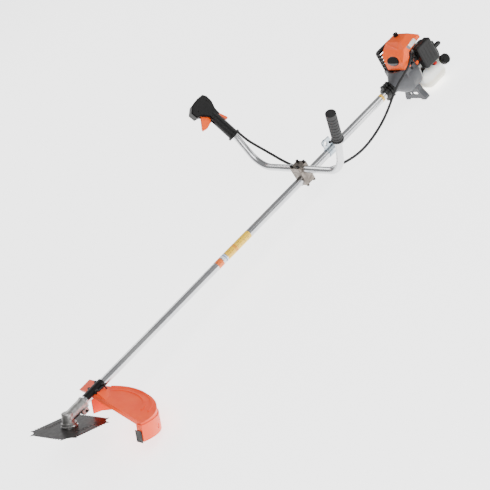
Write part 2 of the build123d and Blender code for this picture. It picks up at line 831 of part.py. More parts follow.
with BuildPart() as neck_collar:
    with BuildSketch(across(collar_front)):
        Circle(21)
        with Locations((0, 18)):
            Rectangle(16, 18)
        with Locations((0, -18)):
            Rectangle(14, 14)
        Circle(tube_r + seat_gap, mode=Mode.SUBTRACT)
    extrude(amount=neck_front - collar_front)
    with BuildSketch(across(collar_front + 9)):
        Circle(60)
        Circle(18.5, mode=Mode.SUBTRACT)
    extrude(amount=4, mode=Mode.SUBTRACT)
    with BuildSketch(across(neck_front - 12)):
        Circle(60)
        Circle(18.5, mode=Mode.SUBTRACT)
    extrude(amount=4, mode=Mode.SUBTRACT)
neck_collar.part.label = "neck_collar"

shroud_half = 50.0
shroud_top = 36.0
shroud_front = 1563.0
bearing_r = 14.0
drum_hub_r = 6.0

with BuildPart() as clutch_housing:
    with BuildSketch(Plane.XZ):
        Polygon(
            (neck_front, 0), (neck_front, 20), (1534, 24), (1550, 38), (1562, 49), (1572, housing_r),
            (housing_back, housing_r), (housing_back, 0), align=None,
        )
    revolve(axis=Axis.X)
    with BuildSketch(across(shroud_front)):
        with Locations((0, shroud_top / 2)):
            RectangleRounded(2 * shroud_half, shroud_top, 4)
        with Locations((0, shroud_top / 4)):
            Rectangle(2 * shroud_half, shroud_top / 2)
    extrude(amount=housing_back - shroud_front)
    with BuildSketch(Plane.XZ):
        Polygon(
            (housing_back, 0), (housing_back, housing_r - housing_wall), (1573, housing_r - housing_wall),
            (1564, 46.5), (drum_front - 1, drum_r + 2), (drum_front - 1, bearing_r - 3),
            (1545, bearing_r - 3), (1545, bearing_r), (1534, bearing_r), (1534, drum_hub_r + 3),
            (tube_back + 1, drum_hub_r + 3), (tube_back + 1, tube_r + seat_gap), (neck_front, tube_r + seat_gap),
            (neck_front, 0), align=None,
        )
    revolve(axis=Axis.X, mode=Mode.SUBTRACT)
    with BuildSketch(across(shroud_front + housing_wall)):
        with Locations((0, 24)):
            Rectangle(2 * (shroud_half - housing_wall), 2 * shroud_top - 24)
    extrude(amount=housing_back - shroud_front, mode=Mode.SUBTRACT)
    with BuildSketch(side(housing_r + 2, 1590, 0)):
        with Locations((-2, -18), (-2, -8)):
            SlotOverall(24, 4)
    extrude(amount=housing_r, mode=Mode.SUBTRACT)
    with BuildSketch(level(shroud_top, housing_back)):
        Rectangle(140, 3 * housing_r)
    extrude(amount=housing_r, mode=Mode.SUBTRACT)
clutch_housing.part.label = "clutch_housing"

with BuildPart() as body_screws:
    for spot in ((136, 30), (140, -20)):
        with BuildSketch(middle.offset(handle_half_w)):
            with Locations(spot):
                Circle(2.6)
        extrude(amount=1.5)
    with BuildSketch(side(-shroud_half, 1592, 25)):
        Circle(4.5)
        RegularPolygon(2.4, 6, mode=Mode.SUBTRACT)
    extrude(amount=2)
    for x in (collar_front + 4, neck_front - 4):
        with BuildSketch(side(11, x, 22)):
            Circle(2.6)
        extrude(amount=3)
        with BuildSketch(side(-8, x, 22)):
            Circle(2.6)
        extrude(amount=3)
body_screws.part.label = "body_screws"

with BuildPart() as engine_stand:
    with BuildSketch(across(stand_front)):
        Polygon(
            (-30, -44), (-34, -62), (-stand_half, stand_low + 8), (-stand_half, stand_low), (-28, stand_low),
            (-24, stand_low + 5), (24, stand_low + 5), (28, stand_low), (stand_half, stand_low),
            (stand_half, stand_low + 8), (34, -62), (30, -44), align=None,
        )
    extrude(amount=stand_back - stand_front)
    with BuildSketch(across(stand_front + 3)):
        Polygon(
            (-40, stand_low - 1), (-30, -64), (-26, -30), (26, -30), (30, -64), (40, stand_low - 1), align=None,
        )
    extrude(amount=stand_back - stand_front, mode=Mode.SUBTRACT)
    with BuildSketch(across(stand_front - 1, 0, -70)):
        with Locations((14, 0)):
            RectangleRounded(16, 10, 2)
        with Locations((-12, 0)):
            RectangleRounded(22, 10, 2)
    extrude(amount=10, mode=Mode.SUBTRACT)
    with BuildSketch(across(0)):
        Circle(housing_r)
    extrude(amount=housing_back, mode=Mode.SUBTRACT)
engine_stand.part.label = "engine_stand"

# ================================ engine: clutch, flywheel and crank ================================

with BuildPart() as clutch_drum:
    with BuildSketch(across(tube_back + 3)):
        Circle(drum_hub_r)
        Circle(drive_d / 2, mode=Mode.SUBTRACT)
    extrude(amount=drum_front - tube_back - 3)
    with BuildSketch(across(drum_front)):
        Circle(drum_r)
    extrude(amount=drum_back - drum_front)
    with BuildSketch(across(drum_front + drum_wall)):
        Circle(drum_r - drum_wall)
    extrude(amount=drum_back - drum_front, mode=Mode.SUBTRACT)
clutch_drum.part.label = "clutch_drum"

shoe_r = drum_r - drum_wall - 1.0

with BuildPart() as clutch_shoes:
    with BuildSketch(across(drum_front + 4)):
        Circle(shoe_r)
        Circle(12, mode=Mode.SUBTRACT)
        Rectangle(12, 80, mode=Mode.SUBTRACT)
    extrude(amount=12)
clutch_shoes.part.label = "clutch_shoes"

with BuildPart() as flywheel:
    with BuildSketch(across(drum_front + 16)):
        with Locations((-20, 0), (20, 0)):
            Circle(4)
    extrude(amount=flywheel_front - drum_front - 16)
    with BuildSketch(across(flywheel_front)):
        Circle(flywheel_r)
        Circle(crank_d / 2, mode=Mode.SUBTRACT)
    extrude(amount=6)
    with BuildSketch(across(flywheel_front)):
        Circle(14)
        Circle(crank_d / 2, mode=Mode.SUBTRACT)
    extrude(amount=flywheel_back - flywheel_front)
    with BuildSketch(across(flywheel_front + 6)):
        for vane in range(16):
            with Locations(Location((0, 0), 22.5 * vane)):
                with Locations((flywheel_r - 9, 0)):
                    Rectangle(17, 2.4)
    extrude(amount=flywheel_back - flywheel_front - 6)
flywheel.part.label = "flywheel"

with BuildPart() as crankshaft:
    with BuildSketch(across(flywheel_front - 2)):
        Circle(crank_d / 2)
    extrude(amount=starter_front + 16 - flywheel_front)
    with BuildSketch(across(1632)):
        Circle(26)
        with Locations((0, 30)):
            Rectangle(80, 40, mode=Mode.SUBTRACT)
        Circle(11)
    extrude(amount=12)
    with BuildSketch(across(starter_front + 4)):
        Circle(15)
    extrude(amount=8)
crankshaft.part.label = "crankshaft"

with BuildPart() as engine_bearings:
    for x, shaft_r, length in (
        (1534, drum_hub_r, 10),
        (housing_back + 3, crank_d / 2, 8),
        (crankcase_back - 11, crank_d / 2, 8),
    ):
        with BuildSketch(across(x)):
            Circle(bearing_r)
            Circle(shaft_r + running_gap, mode=Mode.SUBTRACT)
        extrude(amount=length)
engine_bearings.part.label = "engine_bearings"

with BuildPart() as crankcase:
    with BuildSketch(across(housing_back)):
        Circle(crankcase_r)
    extrude(amount=crankcase_back - housing_back)
    with BuildSketch(level(0, cylinder_x)):
        RectangleRounded(50, 56, 5)
    extrude(amount=cylinder_base)
    with BuildSketch(across(housing_back)):
        Circle(housing_r)
        with Locations((0, cylinder_base)):
            Rectangle(4 * housing_r, 2 * housing_r, align=(Align.CENTER, Align.MIN), mode=Mode.SUBTRACT)
    extrude(amount=3)
    with BuildSketch(across(crankcase_back)):
        Circle(starter_r)
        with Locations((0, cylinder_base + 4)):
            Rectangle(4 * starter_r, 2 * starter_r, align=(Align.CENTER, Align.MIN), mode=Mode.SUBTRACT)
    extrude(amount=starter_front - crankcase_back)
    with BuildSketch(across(1626)):
        Circle(28.5)
    extrude(amount=26, mode=Mode.SUBTRACT)
    with BuildSketch(across(housing_back - 1)):
        Circle(crank_d / 2 + 2)
    extrude(amount=starter_front - housing_back + 2, mode=Mode.SUBTRACT)
    for x in (housing_back + 3, crankcase_back - 11):
        with BuildSketch(across(x)):
            Circle(14)
        extrude(amount=8, mode=Mode.SUBTRACT)
    with BuildSketch(level(0, cylinder_x)):
        Circle(bore_d / 2)
    extrude(amount=cylinder_base, mode=Mode.SUBTRACT)
crankcase.part.label = "crankcase"

# ================================ engine: top end ================================

with BuildPart() as cylinder:
    with BuildSketch(level(cylinder_base, cylinder_x)):
        RectangleRounded(46, 52, 5)
    extrude(amount=4)
    with BuildSketch(level(cylinder_base, cylinder_x)):
        Circle(bore_d / 2 + 5)
    extrude(amount=cylinder_top - cylinder_base)
    fin_count = int((cylinder_top - cylinder_base - 6) / fin_pitch)
    for number in range(fin_count):
        with BuildSketch(level(cylinder_base + 8 + fin_pitch * number, cylinder_x)):
            RectangleRounded(fin_x, fin_y, 8)
        extrude(amount=fin_t)
    for y, reach in ((fin_y / 2, 1), (-fin_y / 2, -1)):
        with BuildSketch(side(y if reach > 0 else y + 14, cylinder_x, 64)):
            RectangleRounded(28, 26, 3)
        extrude(amount=14)
    with BuildSketch(level(cylinder_base, cylinder_x)):
        Circle(bore_d / 2)
    extrude(amount=cylinder_top - cylinder_base - 6, mode=Mode.SUBTRACT)
cylinder.part.label = "cylinder"

with BuildPart() as spark_plug:
    with BuildSketch(level(cylinder_top, cylinder_x)):
        RegularPolygon(9, 6)
    extrude(amount=8)
    with BuildSketch(level(cylinder_top + 8, cylinder_x)):
        Circle(4.5)
    extrude(amount=8)
spark_plug.part.label = "spark_plug"

with BuildPart() as plug_cap:
    with BuildSketch(level(cylinder_top + 8.5, cylinder_x)):
        Circle(9)
    extrude(amount=18)
    fillet(plug_cap.faces().sort_by(Axis.Z)[-1].edges(), radius=4)
    with BuildSketch(level(cylinder_top + 8.5, cylinder_x)):
        Circle(4.5)
    extrude(amount=7.5, mode=Mode.SUBTRACT)
plug_cap.part.label = "plug_cap"

muffler_y = 54.0
with BuildPart() as muffler:
    with BuildSketch(side(muffler_y, 1632, 60)):
        RectangleRounded(56, 48, 8)
    extrude(amount=muffler_y - fin_y / 2)
    fillet(muffler.faces().sort_by(Axis.Y)[-1].edges(), radius=4)
    with BuildSketch(side(muffler_y + 4, 1616, 48)):
        Circle(6)
        Circle(4.5, mode=Mode.SUBTRACT)
    extrude(amount=4)
muffler.part.label = "muffler"

guard_out = 74.0
with BuildPart() as muffler_guard:
    with BuildSketch(side(guard_out, 1623, 47)):
        with Locations((0, 0)):
            RectangleRounded(80, 90, 10)
    extrude(amount=guard_out - muffler_y - 4)
    offset(amount=-2.5, openings=muffler_guard.faces().sort_by(Axis.Y)[0])
    with BuildSketch(side(guard_out + 1, 1623, 47)):
        with GridLocations(0, 11, 1, 6):
            SlotOverall(54, 5)
    extrude(amount=6, mode=Mode.SUBTRACT)
    with BuildSketch(across(1583 - 1, guard_out - 9, 47)):
        with GridLocations(0, 12, 1, 6):
            Rectangle(9, 6)
    extrude(amount=6, mode=Mode.SUBTRACT)
    with BuildSketch(side(guard_out - 1, 1628, 58)):
        with Locations((-16, 0), (16, 0)):
            Circle(2.8)
    extrude(amount=guard_out - 1 - muffler_y)
muffler_guard.part.label = "muffler_guard"

with BuildPart() as engine_cover:
    with BuildSketch(side(70)):
        Polygon(
            (1567, cover_low), (1571, 60), (1592, 98), (1610, 114), (1652, 118), (1672, 98),
            (1672, cover_low), align=None,
        )
    extrude(amount=140)
    with BuildSketch(across(1500)):
        Polygon((40, 0), (48, 74), (30, 114), (-36, 118), (-58, 98), (-60, 62), (-52, 0), align=None)
    extrude(amount=300, mode=Mode.INTERSECT)
    with BuildSketch(level(0)):
        Polygon((1560, 26), (1560, -42), (1592, -62), (1700, -62), (1700, 50), (1588, 50), align=None)
    extrude(amount=200, mode=Mode.INTERSECT)
    rear = engine_cover.faces().sort_by(Axis.X)[-1]
    offset(amount=-cover_t, openings=[engine_cover.faces().sort_by(Axis.Z)[0], rear])
    with BuildSketch(side(-40)):
        Polygon((1588, 20), (1588, 50), (1604, 78), (1663, 87), (1700, 87), (1700, 20), align=None)
    extrude(amount=40, mode=Mode.SUBTRACT)
    with BuildSketch(level(0, 1642, 50)):
        Rectangle(90, 34)
    extrude(amount=96, mode=Mode.SUBTRACT)
    for y, height in ((17, 33.2), (-17, 35.2)):
        with BuildSketch(level(cylinder_top, cylinder_x, y)):
            Circle(3)
        extrude(amount=height)
    with BuildSketch(level(cylinder_top + 30, knob_x, knob_y)):
        Circle(knob_stem_r + slide_gap)
    extrude(amount=20, mode=Mode.SUBTRACT)
engine_cover.part.label = "engine_cover"

# ================================ engine: intake and filter ================================

carb_front_y = -fin_y / 2 - 9
carb_top = 75.0
swivel_y = (carb_front_y + filter_base_y) / 2
swivel_pin_r = 2.0
cable_end = Vector(1611.9, -55.5, 66)
cable_turn = (1583, -68, 52)
cable_end_plane = Plane(origin=cable_end, z_dir=cable_end - Vector(*cable_turn))
with BuildPart() as carburettor:
    with BuildSketch(side(-fin_y / 2, cylinder_x, 64)):
        RectangleRounded(26, 24, 3)
    extrude(amount=9)
    with BuildSketch(side(carb_front_y, cylinder_x, 60)):
        RectangleRounded(32, 30, 3)
    extrude(amount=carb_front_y - filter_base_y)
    with BuildSketch(cable_end_plane):
        Rectangle(8, 8)
    extrude(amount=16)
    with BuildSketch(level(carb_top, cylinder_x, swivel_y)):
        Circle(swivel_pin_r + running_gap)
    extrude(amount=-6, mode=Mode.SUBTRACT)
carburettor.part.label = "carburettor"

choke_x = 1612.0
with BuildPart() as throttle_swivel:
    with BuildSketch(level(carb_top + body_gap, cylinder_x, swivel_y)):
        SlotCenterToCenter(12, 7)
        with Locations((-6, 0)):
            Circle(1.2, mode=Mode.SUBTRACT)
    extrude(amount=3)
    with BuildSketch(level(carb_top + body_gap, cylinder_x, swivel_y)):
        Circle(swivel_pin_r)
    extrude(amount=-5)
throttle_swivel.part.label = "throttle_swivel"

filter_mid = (filter_front + filter_back) / 2
filter_centre_z = (filter_low + filter_high) / 2
with BuildPart() as filter_base:
    with BuildSketch(side(filter_base_y, filter_mid, filter_centre_z)):
        RectangleRounded(filter_back - filter_front, filter_high - filter_low, 8)
    extrude(amount=4)
    with BuildSketch(side(filter_base_y, choke_x + 8, 44)):
        Rectangle(28, 12)
    extrude(amount=3)
    with BuildSketch(side(filter_base_y + 6, choke_x, 44)):
        Circle(2)
    extrude(amount=6)
    with BuildSketch(side(filter_base_y, primer_x, primer_z)):
        Circle(primer_r + 2.5)
    extrude(amount=6)
    with BuildSketch(side(filter_base_y, primer_x, filter_low)):
        Rectangle(8, 8)
    extrude(amount=4)
    with BuildSketch(side(filter_base_y - 1, primer_x, primer_z)):
        Circle(primer_r + body_gap)
    extrude(amount=6, mode=Mode.SUBTRACT)
filter_base.part.label = "filter_base"

with BuildPart() as filter_cover:
    with BuildSketch(side(filter_base_y - 4, filter_mid, filter_centre_z)):
        RectangleRounded(filter_back - filter_front, filter_high - filter_low, 8)
    extrude(amount=filter_base_y - 4 - filter_face)
    fillet(filter_cover.faces().sort_by(Axis.Y)[0].edges(), radius=5)
    with BuildSketch(side(filter_base_y - 4, filter_mid, filter_centre_z)):
        RectangleRounded(filter_back - filter_front - 5, filter_high - filter_low - 5, 5.5)
    extrude(amount=filter_base_y - 6.5 - filter_face - 4, mode=Mode.SUBTRACT)
    with BuildSketch(side(filter_face + 1, filter_mid, filter_centre_z)):
        with GridLocations(13, 0, 4, 1):
            Rectangle(2.5, filter_high - filter_low - 26)
    extrude(amount=1.4)
filter_cover.part.label = "filter_cover"

with BuildPart() as choke_lever:
    with BuildSketch(side(filter_base_y + body_gap + 3, choke_x, 44)):
        Circle(5)
        Polygon((-5, 0), (5, 0), (9, -16), (-1, -20), align=None)
        Circle(2 + running_gap, mode=Mode.SUBTRACT)
    extrude(amount=3)
choke_lever.part.label = "choke_lever"

# ================================ engine: fuel tank ================================

cap_plane = Plane(
    origin=(cap_x, cap_y, cap_z), x_dir=(1, 0, 0),
    z_dir=(0, -cos(radians(cap_tilt)), sin(radians(cap_tilt))),
)
with BuildPart() as fuel_tank:
    with BuildSketch(side(tank_half, (tank_front + tank_back) / 2, (tank_low + tank_high) / 2)):
        Rectangle(tank_back - tank_front, tank_high - tank_low)
    extrude(amount=2 * tank_half)
    fillet(fuel_tank.edges(), radius=24)
    with BuildSketch(across(tank_front - 1)):
        Circle(starter_r)
        with Locations((0, 20)):
            Rectangle(2 * (starter_r - 8), 40)
    extrude(amount=tank_back - tank_front + 2, mode=Mode.SUBTRACT)
    with BuildSketch(cap_plane.offset(-4)):
        Circle(cap_d / 2 - 5)
    extrude(amount=cap_lift + 6)
fuel_tank.part.label = "fuel_tank"

with BuildPart() as fuel_cap:
    with BuildSketch(cap_plane.offset(cap_lift)):
        Circle(cap_d / 2)
        with PolarLocations(cap_d / 2, 18):
            Circle(1.2, mode=Mode.SUBTRACT)
    extrude(amount=14)
    with BuildSketch(cap_plane.offset(cap_lift + 14)):
        RectangleRounded(cap_d - 10, 6, 2)
    extrude(amount=4)
    with BuildSketch(cap_plane.offset(cap_lift)):
        Circle(cap_d / 2 - 5 + slide_gap)
    extrude(amount=3, mode=Mode.SUBTRACT)
fuel_cap.part.label = "fuel_cap"

# ================================ engine: starter ================================

with BuildPart() as starter_housing:
    with BuildSketch(across(starter_front)):
        Circle(starter_r)
        with Locations((-24, 28)):
            Rectangle(44, 22)
    extrude(amount=starter_back - starter_front)
    fillet(starter_housing.faces().sort_by(Axis.X)[-1].edges(), radius=5)
    with BuildSketch(across(starter_front)):
        Circle(starter_r - 3)
    extrude(amount=starter_back - starter_front - 3, mode=Mode.SUBTRACT)
    with BuildSketch(across(starter_back - 4)):
        with PolarLocations(starter_r - 16, 10):
            SlotOverall(16, 4)
    extrude(amount=6, mode=Mode.SUBTRACT)
    with BuildSketch(side(0, pulley_x, pulley_r + rope_d / 2)):
        Circle(rope_d / 2 + body_gap)
    extrude(amount=60, mode=Mode.SUBTRACT)
    with BuildSketch(across(starter_back - 3)):
        Circle(4)
    extrude(amount=-28)
starter_housing.part.label = "starter_housing"

with BuildPart() as starter_pulley:
    with BuildSketch(Plane.XZ):
        Polygon(
            (pulley_x - 6, 4 + running_gap), (pulley_x - 6, pulley_r + 5), (pulley_x - 3, pulley_r + 5),
            (pulley_x - 2.4, pulley_r - 0.4), (pulley_x + 2.4, pulley_r - 0.4), (pulley_x + 3, pulley_r + 5),
            (pulley_x + 6, pulley_r + 5), (pulley_x + 6, 4 + running_gap), align=None,
        )
    revolve(axis=Axis.X)
    with BuildSketch(across(pulley_x - 6)):
        with PolarLocations(15, 4):
            Circle(5)
    extrude(amount=12, mode=Mode.SUBTRACT)
starter_pulley.part.label = "starter_pulley"

grip_out = -56.0
with BuildPart() as starter_rope:
    with BuildSketch(side(2, pulley_x, pulley_r + rope_d / 2)):
        Circle(rope_d / 2)
    extrude(amount=2 - grip_out)
starter_rope.part.label = "starter_rope"

with BuildPart() as starter_grip:
    with BuildSketch(side(grip_out, pulley_x + 7, pulley_r + rope_d / 2)):
        SlotOverall(36, 13)
    extrude(amount=13)
    fillet(starter_grip.faces().filter_by(Axis.Y).edges(), radius=3)
starter_grip.part.label = "starter_grip"

with BuildPart() as primer_bulb:
    with BuildSketch(side(primer_y, primer_x, primer_z)):
        Circle(primer_r)
    extrude(amount=10)
    fillet(primer_bulb.faces().sort_by(Axis.Y)[0].edges(), radius=4.5)
primer_bulb.part.label = "primer_bulb"

with BuildPart() as cover_knob:
    with BuildSketch(level(knob_z, knob_x, knob_y)):
        Circle(knob_r)
        with PolarLocations(knob_r, 8):
            Circle(1.2, mode=Mode.SUBTRACT)
    extrude(amount=10)
    with BuildSketch(level(knob_z, knob_x, knob_y)):
        Circle(knob_stem_r)
    extrude(amount=-7)
cover_knob.part.label = "cover_knob"

# ================================ throttle cable ================================

cable_d = 8.5
cable_route = (
    tuple(grip_section(1, 0).from_local_coords((10.6, -12.6, 0))),
    tuple(grip_section(1, 0).from_local_coords((10.6, -12.6, -32))),
    (1098, 190, 96), (1100, 155, 71), (1101, 113, 41), (1104, 72, 14), (1118, 35, -14),
    (1150, 8, -36), (1205, -14, -56), (1279, -24, -69), (1352, -30, -60), (1425, -38, -34), (1500, -46, 13),
    (1549, -61, 36), cable_turn, tuple(cable_end),
)


def route_radii(points):
    """Bend radius at each inner point: as large as 0.45 of the shorter neighbouring run allows."""
    radii = []
    for before, here, after in zip(points, points[1:], points[2:]):
        leg_in = Vector(*here) - Vector(*before)
        leg_out = Vector(*after) - Vector(*here)
        half_turn = radians(leg_in.get_angle(leg_out)) / 2
        radii.append(0.45 * min(leg_in.length, leg_out.length) / tan(half_turn))
    return radii


cable_radii = route_radii(cable_route)
print("cable radii", [round(r) for r in cable_radii])

with BuildPart() as throttle_cable:
    with BuildLine() as cable_line:
        FilletPolyline(*cable_route, radius=cable_radii)
    with BuildSketch(Plane(origin=cable_route[0], z_dir=cable_line.wire() % 0)):
        Circle(cable_d / 2)
    sweep(path=cable_line.wire())
throttle_cable.part.label = "throttle_cable"
print("cable length", round(cable_line.wire().length), "volume ratio",
      throttle_cable.part.volume / (cable_line.wire().length * pi * cable_d ** 2 / 4))

PIECES = [
    shaft_tube, drive_shaft, shaft_bushings, gearcase, head_bearings, bevel_pinion, output_spindle,
    drive_flange, blade, outer_flange, blade_nut, guard, guard_skirt, line_cutter, guard_clamp, guard_screws,
    handlebar, clamp_bottom, clamp_middle, clamp_cap, clamp_screws, left_grip, handle_inner, handle_outer,
    trigger, lock_lever, stop_switch, hanger, tube_clamp_screws, shaft_labels, throttle_cable, neck_collar,
    clutch_housing, body_screws, engine_stand, clutch_drum, clutch_shoes, flywheel, crankshaft,
    engine_bearings, crankcase, cylinder, spark_plug, plug_cap, muffler, muffler_guard,
    engine_cover, cover_knob, carburettor, throttle_swivel, filter_base, filter_cover,
    choke_lever, primer_bulb, fuel_tank, fuel_cap, starter_housing, starter_pulley, starter_rope, starter_grip,
]

# ---- rest pose: guard and stand on the ground, origin in the middle of the footprint ----
guard_foot = head_back * (guard_centre[0] + guard_r + guard_t) + head_axis * guard_bottom
rest_pitch = degrees(atan2(stand_low - guard_foot.Z, stand_back - guard_foot.X))
tipped = Location((0, 0, 0), (0, rest_pitch, 0))
whole = Compound(children=[tipped * piece.part for piece in PIECES])
box = whole.bounding_box()
REST = Location((-box.center().X, -box.center().Y, -box.min.Z)) * tipped

if __name__ == "__main__":
    os.makedirs("parts", exist_ok=True)
    print("pitch", rest_pitch, "size", box.size)
    for piece in PIECES:
        placed = REST * piece.part
        placed.label = piece.part.label
        export_step(placed, f"parts/{placed.label}.step")
        print(placed.label, len(placed.solids()), round(placed.volume), placed.is_valid)
    print(len(PIECES), "pieces")
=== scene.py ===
"""Petrol brush cutter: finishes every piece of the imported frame, adds the fine trim and sets the stage.

Every length is in metres in the frame's own axes: X runs back to the engine, Y to the operator's right
and Z up. Machine drawings are in millimetres along the shaft; machine() carries them into the frame.
"""

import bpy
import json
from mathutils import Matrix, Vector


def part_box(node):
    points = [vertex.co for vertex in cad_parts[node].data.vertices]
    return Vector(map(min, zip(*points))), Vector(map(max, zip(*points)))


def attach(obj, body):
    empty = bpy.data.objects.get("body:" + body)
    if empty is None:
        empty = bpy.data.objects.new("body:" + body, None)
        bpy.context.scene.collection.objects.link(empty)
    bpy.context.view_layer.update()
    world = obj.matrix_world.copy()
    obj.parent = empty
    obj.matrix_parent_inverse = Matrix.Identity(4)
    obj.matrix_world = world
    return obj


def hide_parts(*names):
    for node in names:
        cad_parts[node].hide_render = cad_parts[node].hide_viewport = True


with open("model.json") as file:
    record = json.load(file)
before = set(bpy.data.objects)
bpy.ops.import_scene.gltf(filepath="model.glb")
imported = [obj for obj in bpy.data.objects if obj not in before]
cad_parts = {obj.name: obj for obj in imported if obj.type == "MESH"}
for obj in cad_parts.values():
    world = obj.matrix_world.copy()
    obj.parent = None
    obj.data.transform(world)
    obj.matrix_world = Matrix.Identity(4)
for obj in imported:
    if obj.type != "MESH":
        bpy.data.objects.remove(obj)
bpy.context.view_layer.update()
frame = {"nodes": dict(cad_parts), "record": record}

import json
import math

import bpy
import numpy as np
from bpy.props import FloatProperty, FloatVectorProperty, PointerProperty
from mathutils import Matrix, Vector

bl_info = {
    "name": "Brush cutter",
    "version": (1, 0, 0),
    "blender": (4, 5, 0),
    "location": "View3D > Sidebar > Brush cutter",
    "description": "Finishes and trims a petrol brush cutter",
    "category": "Object",
}

JOINTS = {joint["name"]: joint for joint in frame["record"]["behaviour"]["joints"]}
HEAD = np.array(JOINTS["blade_spin"]["pos_m"])       # where the shaft's line meets the blade's
SHAFT = np.array(JOINTS["drive_spin"]["axis"])       # back along the shaft
UP = np.array([-SHAFT[2], 0.0, SHAFT[0]])            # square to the shaft, upward
RIGHT = np.array([0.0, 1.0, 0.0])


def machine(points):
    """Millimetres along the shaft, to the right and up from the shaft's line, carried into the frame."""
    points = np.asarray(points, float) / 1000.0
    return HEAD + points[..., :1] * SHAFT + points[..., 1:2] * RIGHT + points[..., 2:3] * UP


# ---------------------------------------------------------------- colours and node trees

def linear(code):
    """The sRGB colour #rrggbb as linear red, green, blue and a full alpha."""
    values = [int(code[i:i + 2], 16) / 255 for i in (1, 3, 5)]
    return tuple(v / 12.92 if v <= 0.04045 else ((v + 0.055) / 1.055) ** 2.4 for v in values) + (1.0,)


def node(tree, kind, settings=None, links=None):
    """Adds a node. settings are its attributes or unlinked inputs, links are input name to an output."""
    made = tree.nodes.new(kind)
    for key, value in (settings or {}).items():
        if isinstance(key, int) or key in made.inputs:
            made.inputs[key].default_value = value
        else:
            setattr(made, key, value)
    for key, output in (links or {}).items():
        tree.links.new(output, made.inputs[key])
    return made


def blank(name):
    """A material with an empty tree, its shader, its output and the object's own coordinates in metres."""
    made = bpy.data.materials.new(name)
    made.use_nodes = True
    tree = made.node_tree
    tree.nodes.clear()
    shader = node(tree, "ShaderNodeBsdfPrincipled")
    node(tree, "ShaderNodeOutputMaterial", links={"Surface": shader.outputs[0]})
    place = node(tree, "ShaderNodeTexCoord").outputs["Object"]
    return made, tree, shader, place


def along_shaft(tree, place, stretch):
    """Object coordinates turned so that X lies along the shaft and scaled by stretch on each axis."""
    slope = math.atan2(-SHAFT[2], SHAFT[0])
    settings = {"vector_type": "TEXTURE", "Rotation": (0, slope, 0), "Scale": stretch}
    return node(tree, "ShaderNodeMapping", settings, {"Vector": place}).outputs[0]


def tint(tree, place, dark, light, size, low=0.35, high=0.65):
    """Colour that drifts between two shades in soft clouds of the given size in metres."""
    settings = {"Scale": 1 / size, "Detail": 4.0, "Roughness": 0.6}
    cloud = node(tree, "ShaderNodeTexNoise", settings, {"Vector": place})
    ramp = node(tree, "ShaderNodeValToRGB", links={"Fac": cloud.outputs[0]})
    ramp.color_ramp.elements[0].position = low
    ramp.color_ramp.elements[0].color = linear(dark)
    ramp.color_ramp.elements[1].position = high
    ramp.color_ramp.elements[1].color = linear(light)
    return ramp.outputs[0]


def spread(tree, place, size, low, high, detail=3.0):
    """A value that wanders between low and high in patches of the given size in metres."""
    cloud = node(tree, "ShaderNodeTexNoise", {"Scale": 1 / size, "Detail": detail}, {"Vector": place})
    limits = {"To Min": low, "To Max": high}
    return node(tree, "ShaderNodeMapRange", limits, {"Value": cloud.outputs[0]}).outputs[0]


def grain(tree, place, size, strength, depth, detail=2.0):
    """Bump from fine noise of the given size in metres and depth in metres."""
    fine = node(tree, "ShaderNodeTexNoise", {"Scale": 1 / size, "Detail": detail}, {"Vector": place})
    settings = {"Strength": strength, "Distance": depth}
    return node(tree, "ShaderNodeBump", settings, {"Height": fine.outputs[0]}).outputs[0]


# ---------------------------------------------------------------- materials

def moulded_plastic(name, dark, light, rough, spark=0.0012, depth=0.00004, shine=0.5, coat=0.0, glow=0.0):
    """Injection-moulded plastic: spark-eroded grain from the mould, faint clouding of the pigment."""
    # The grain is about 0.4 mm on the real piece and is drawn three times as coarse, so that it shows.
    made, tree, shader, place = blank(name)
    tree.links.new(tint(tree, place, dark, light, 0.05), shader.inputs["Base Color"])
    tree.links.new(spread(tree, place, 0.02, rough - 0.06, rough + 0.06), shader.inputs["Roughness"])
    tree.links.new(grain(tree, place, spark, 0.35, depth), shader.inputs["Normal"])
    shader.inputs["IOR"].default_value = 1.5
    shader.inputs["Specular IOR Level"].default_value = shine
    shader.inputs["Coat Weight"].default_value = coat
    shader.inputs["Coat Roughness"].default_value = 0.15
    if glow:
        shader.inputs["Subsurface Weight"].default_value = glow
        shader.inputs["Subsurface Radius"].default_value = (0.004, 0.0025, 0.0015)
        shader.inputs["Subsurface Scale"].default_value = 1.0
    return made


def drawn_aluminium(name="drawn anodised aluminium"):
    """Bright anodised tube: mirror-like across, with hair-thin draw lines that run its whole length."""
    made, tree, shader, place = blank(name)
    lines = along_shaft(tree, place, (0.4, 0.0011, 0.0011))
    streak = node(tree, "ShaderNodeTexNoise", {"Scale": 1.0, "Detail": 3.0}, {"Vector": lines}).outputs[0]
    tree.links.new(tint(tree, place, "#b9babd", "#d2d3d4", 0.09), shader.inputs["Base Color"])
    rough = node(tree, "ShaderNodeMapRange", {"To Min": 0.16, "To Max": 0.3}, {"Value": streak}).outputs[0]
    tree.links.new(rough, shader.inputs["Roughness"])
    relief = {"Strength": 0.25, "Distance": 0.00004}
    bump = node(tree, "ShaderNodeBump", relief, {"Height": streak}).outputs[0]
    tree.links.new(bump, shader.inputs["Normal"])
    shader.inputs["Metallic"].default_value = 1.0
    return made


def cast_metal(name, dark, light, rough, sand=0.0014, depth=0.00012):
    """Die-cast aluminium: bead-blasted skin with a fine sandy relief and slightly uneven grey."""
    made, tree, shader, place = blank(name)
    tree.links.new(tint(tree, place, dark, light, 0.012), shader.inputs["Base Color"])
    tree.links.new(spread(tree, place, 0.006, rough - 0.08, rough + 0.08), shader.inputs["Roughness"])
    tree.links.new(grain(tree, place, sand, 0.6, depth, 4.0), shader.inputs["Normal"])
    shader.inputs["Metallic"].default_value = 1.0
    return made


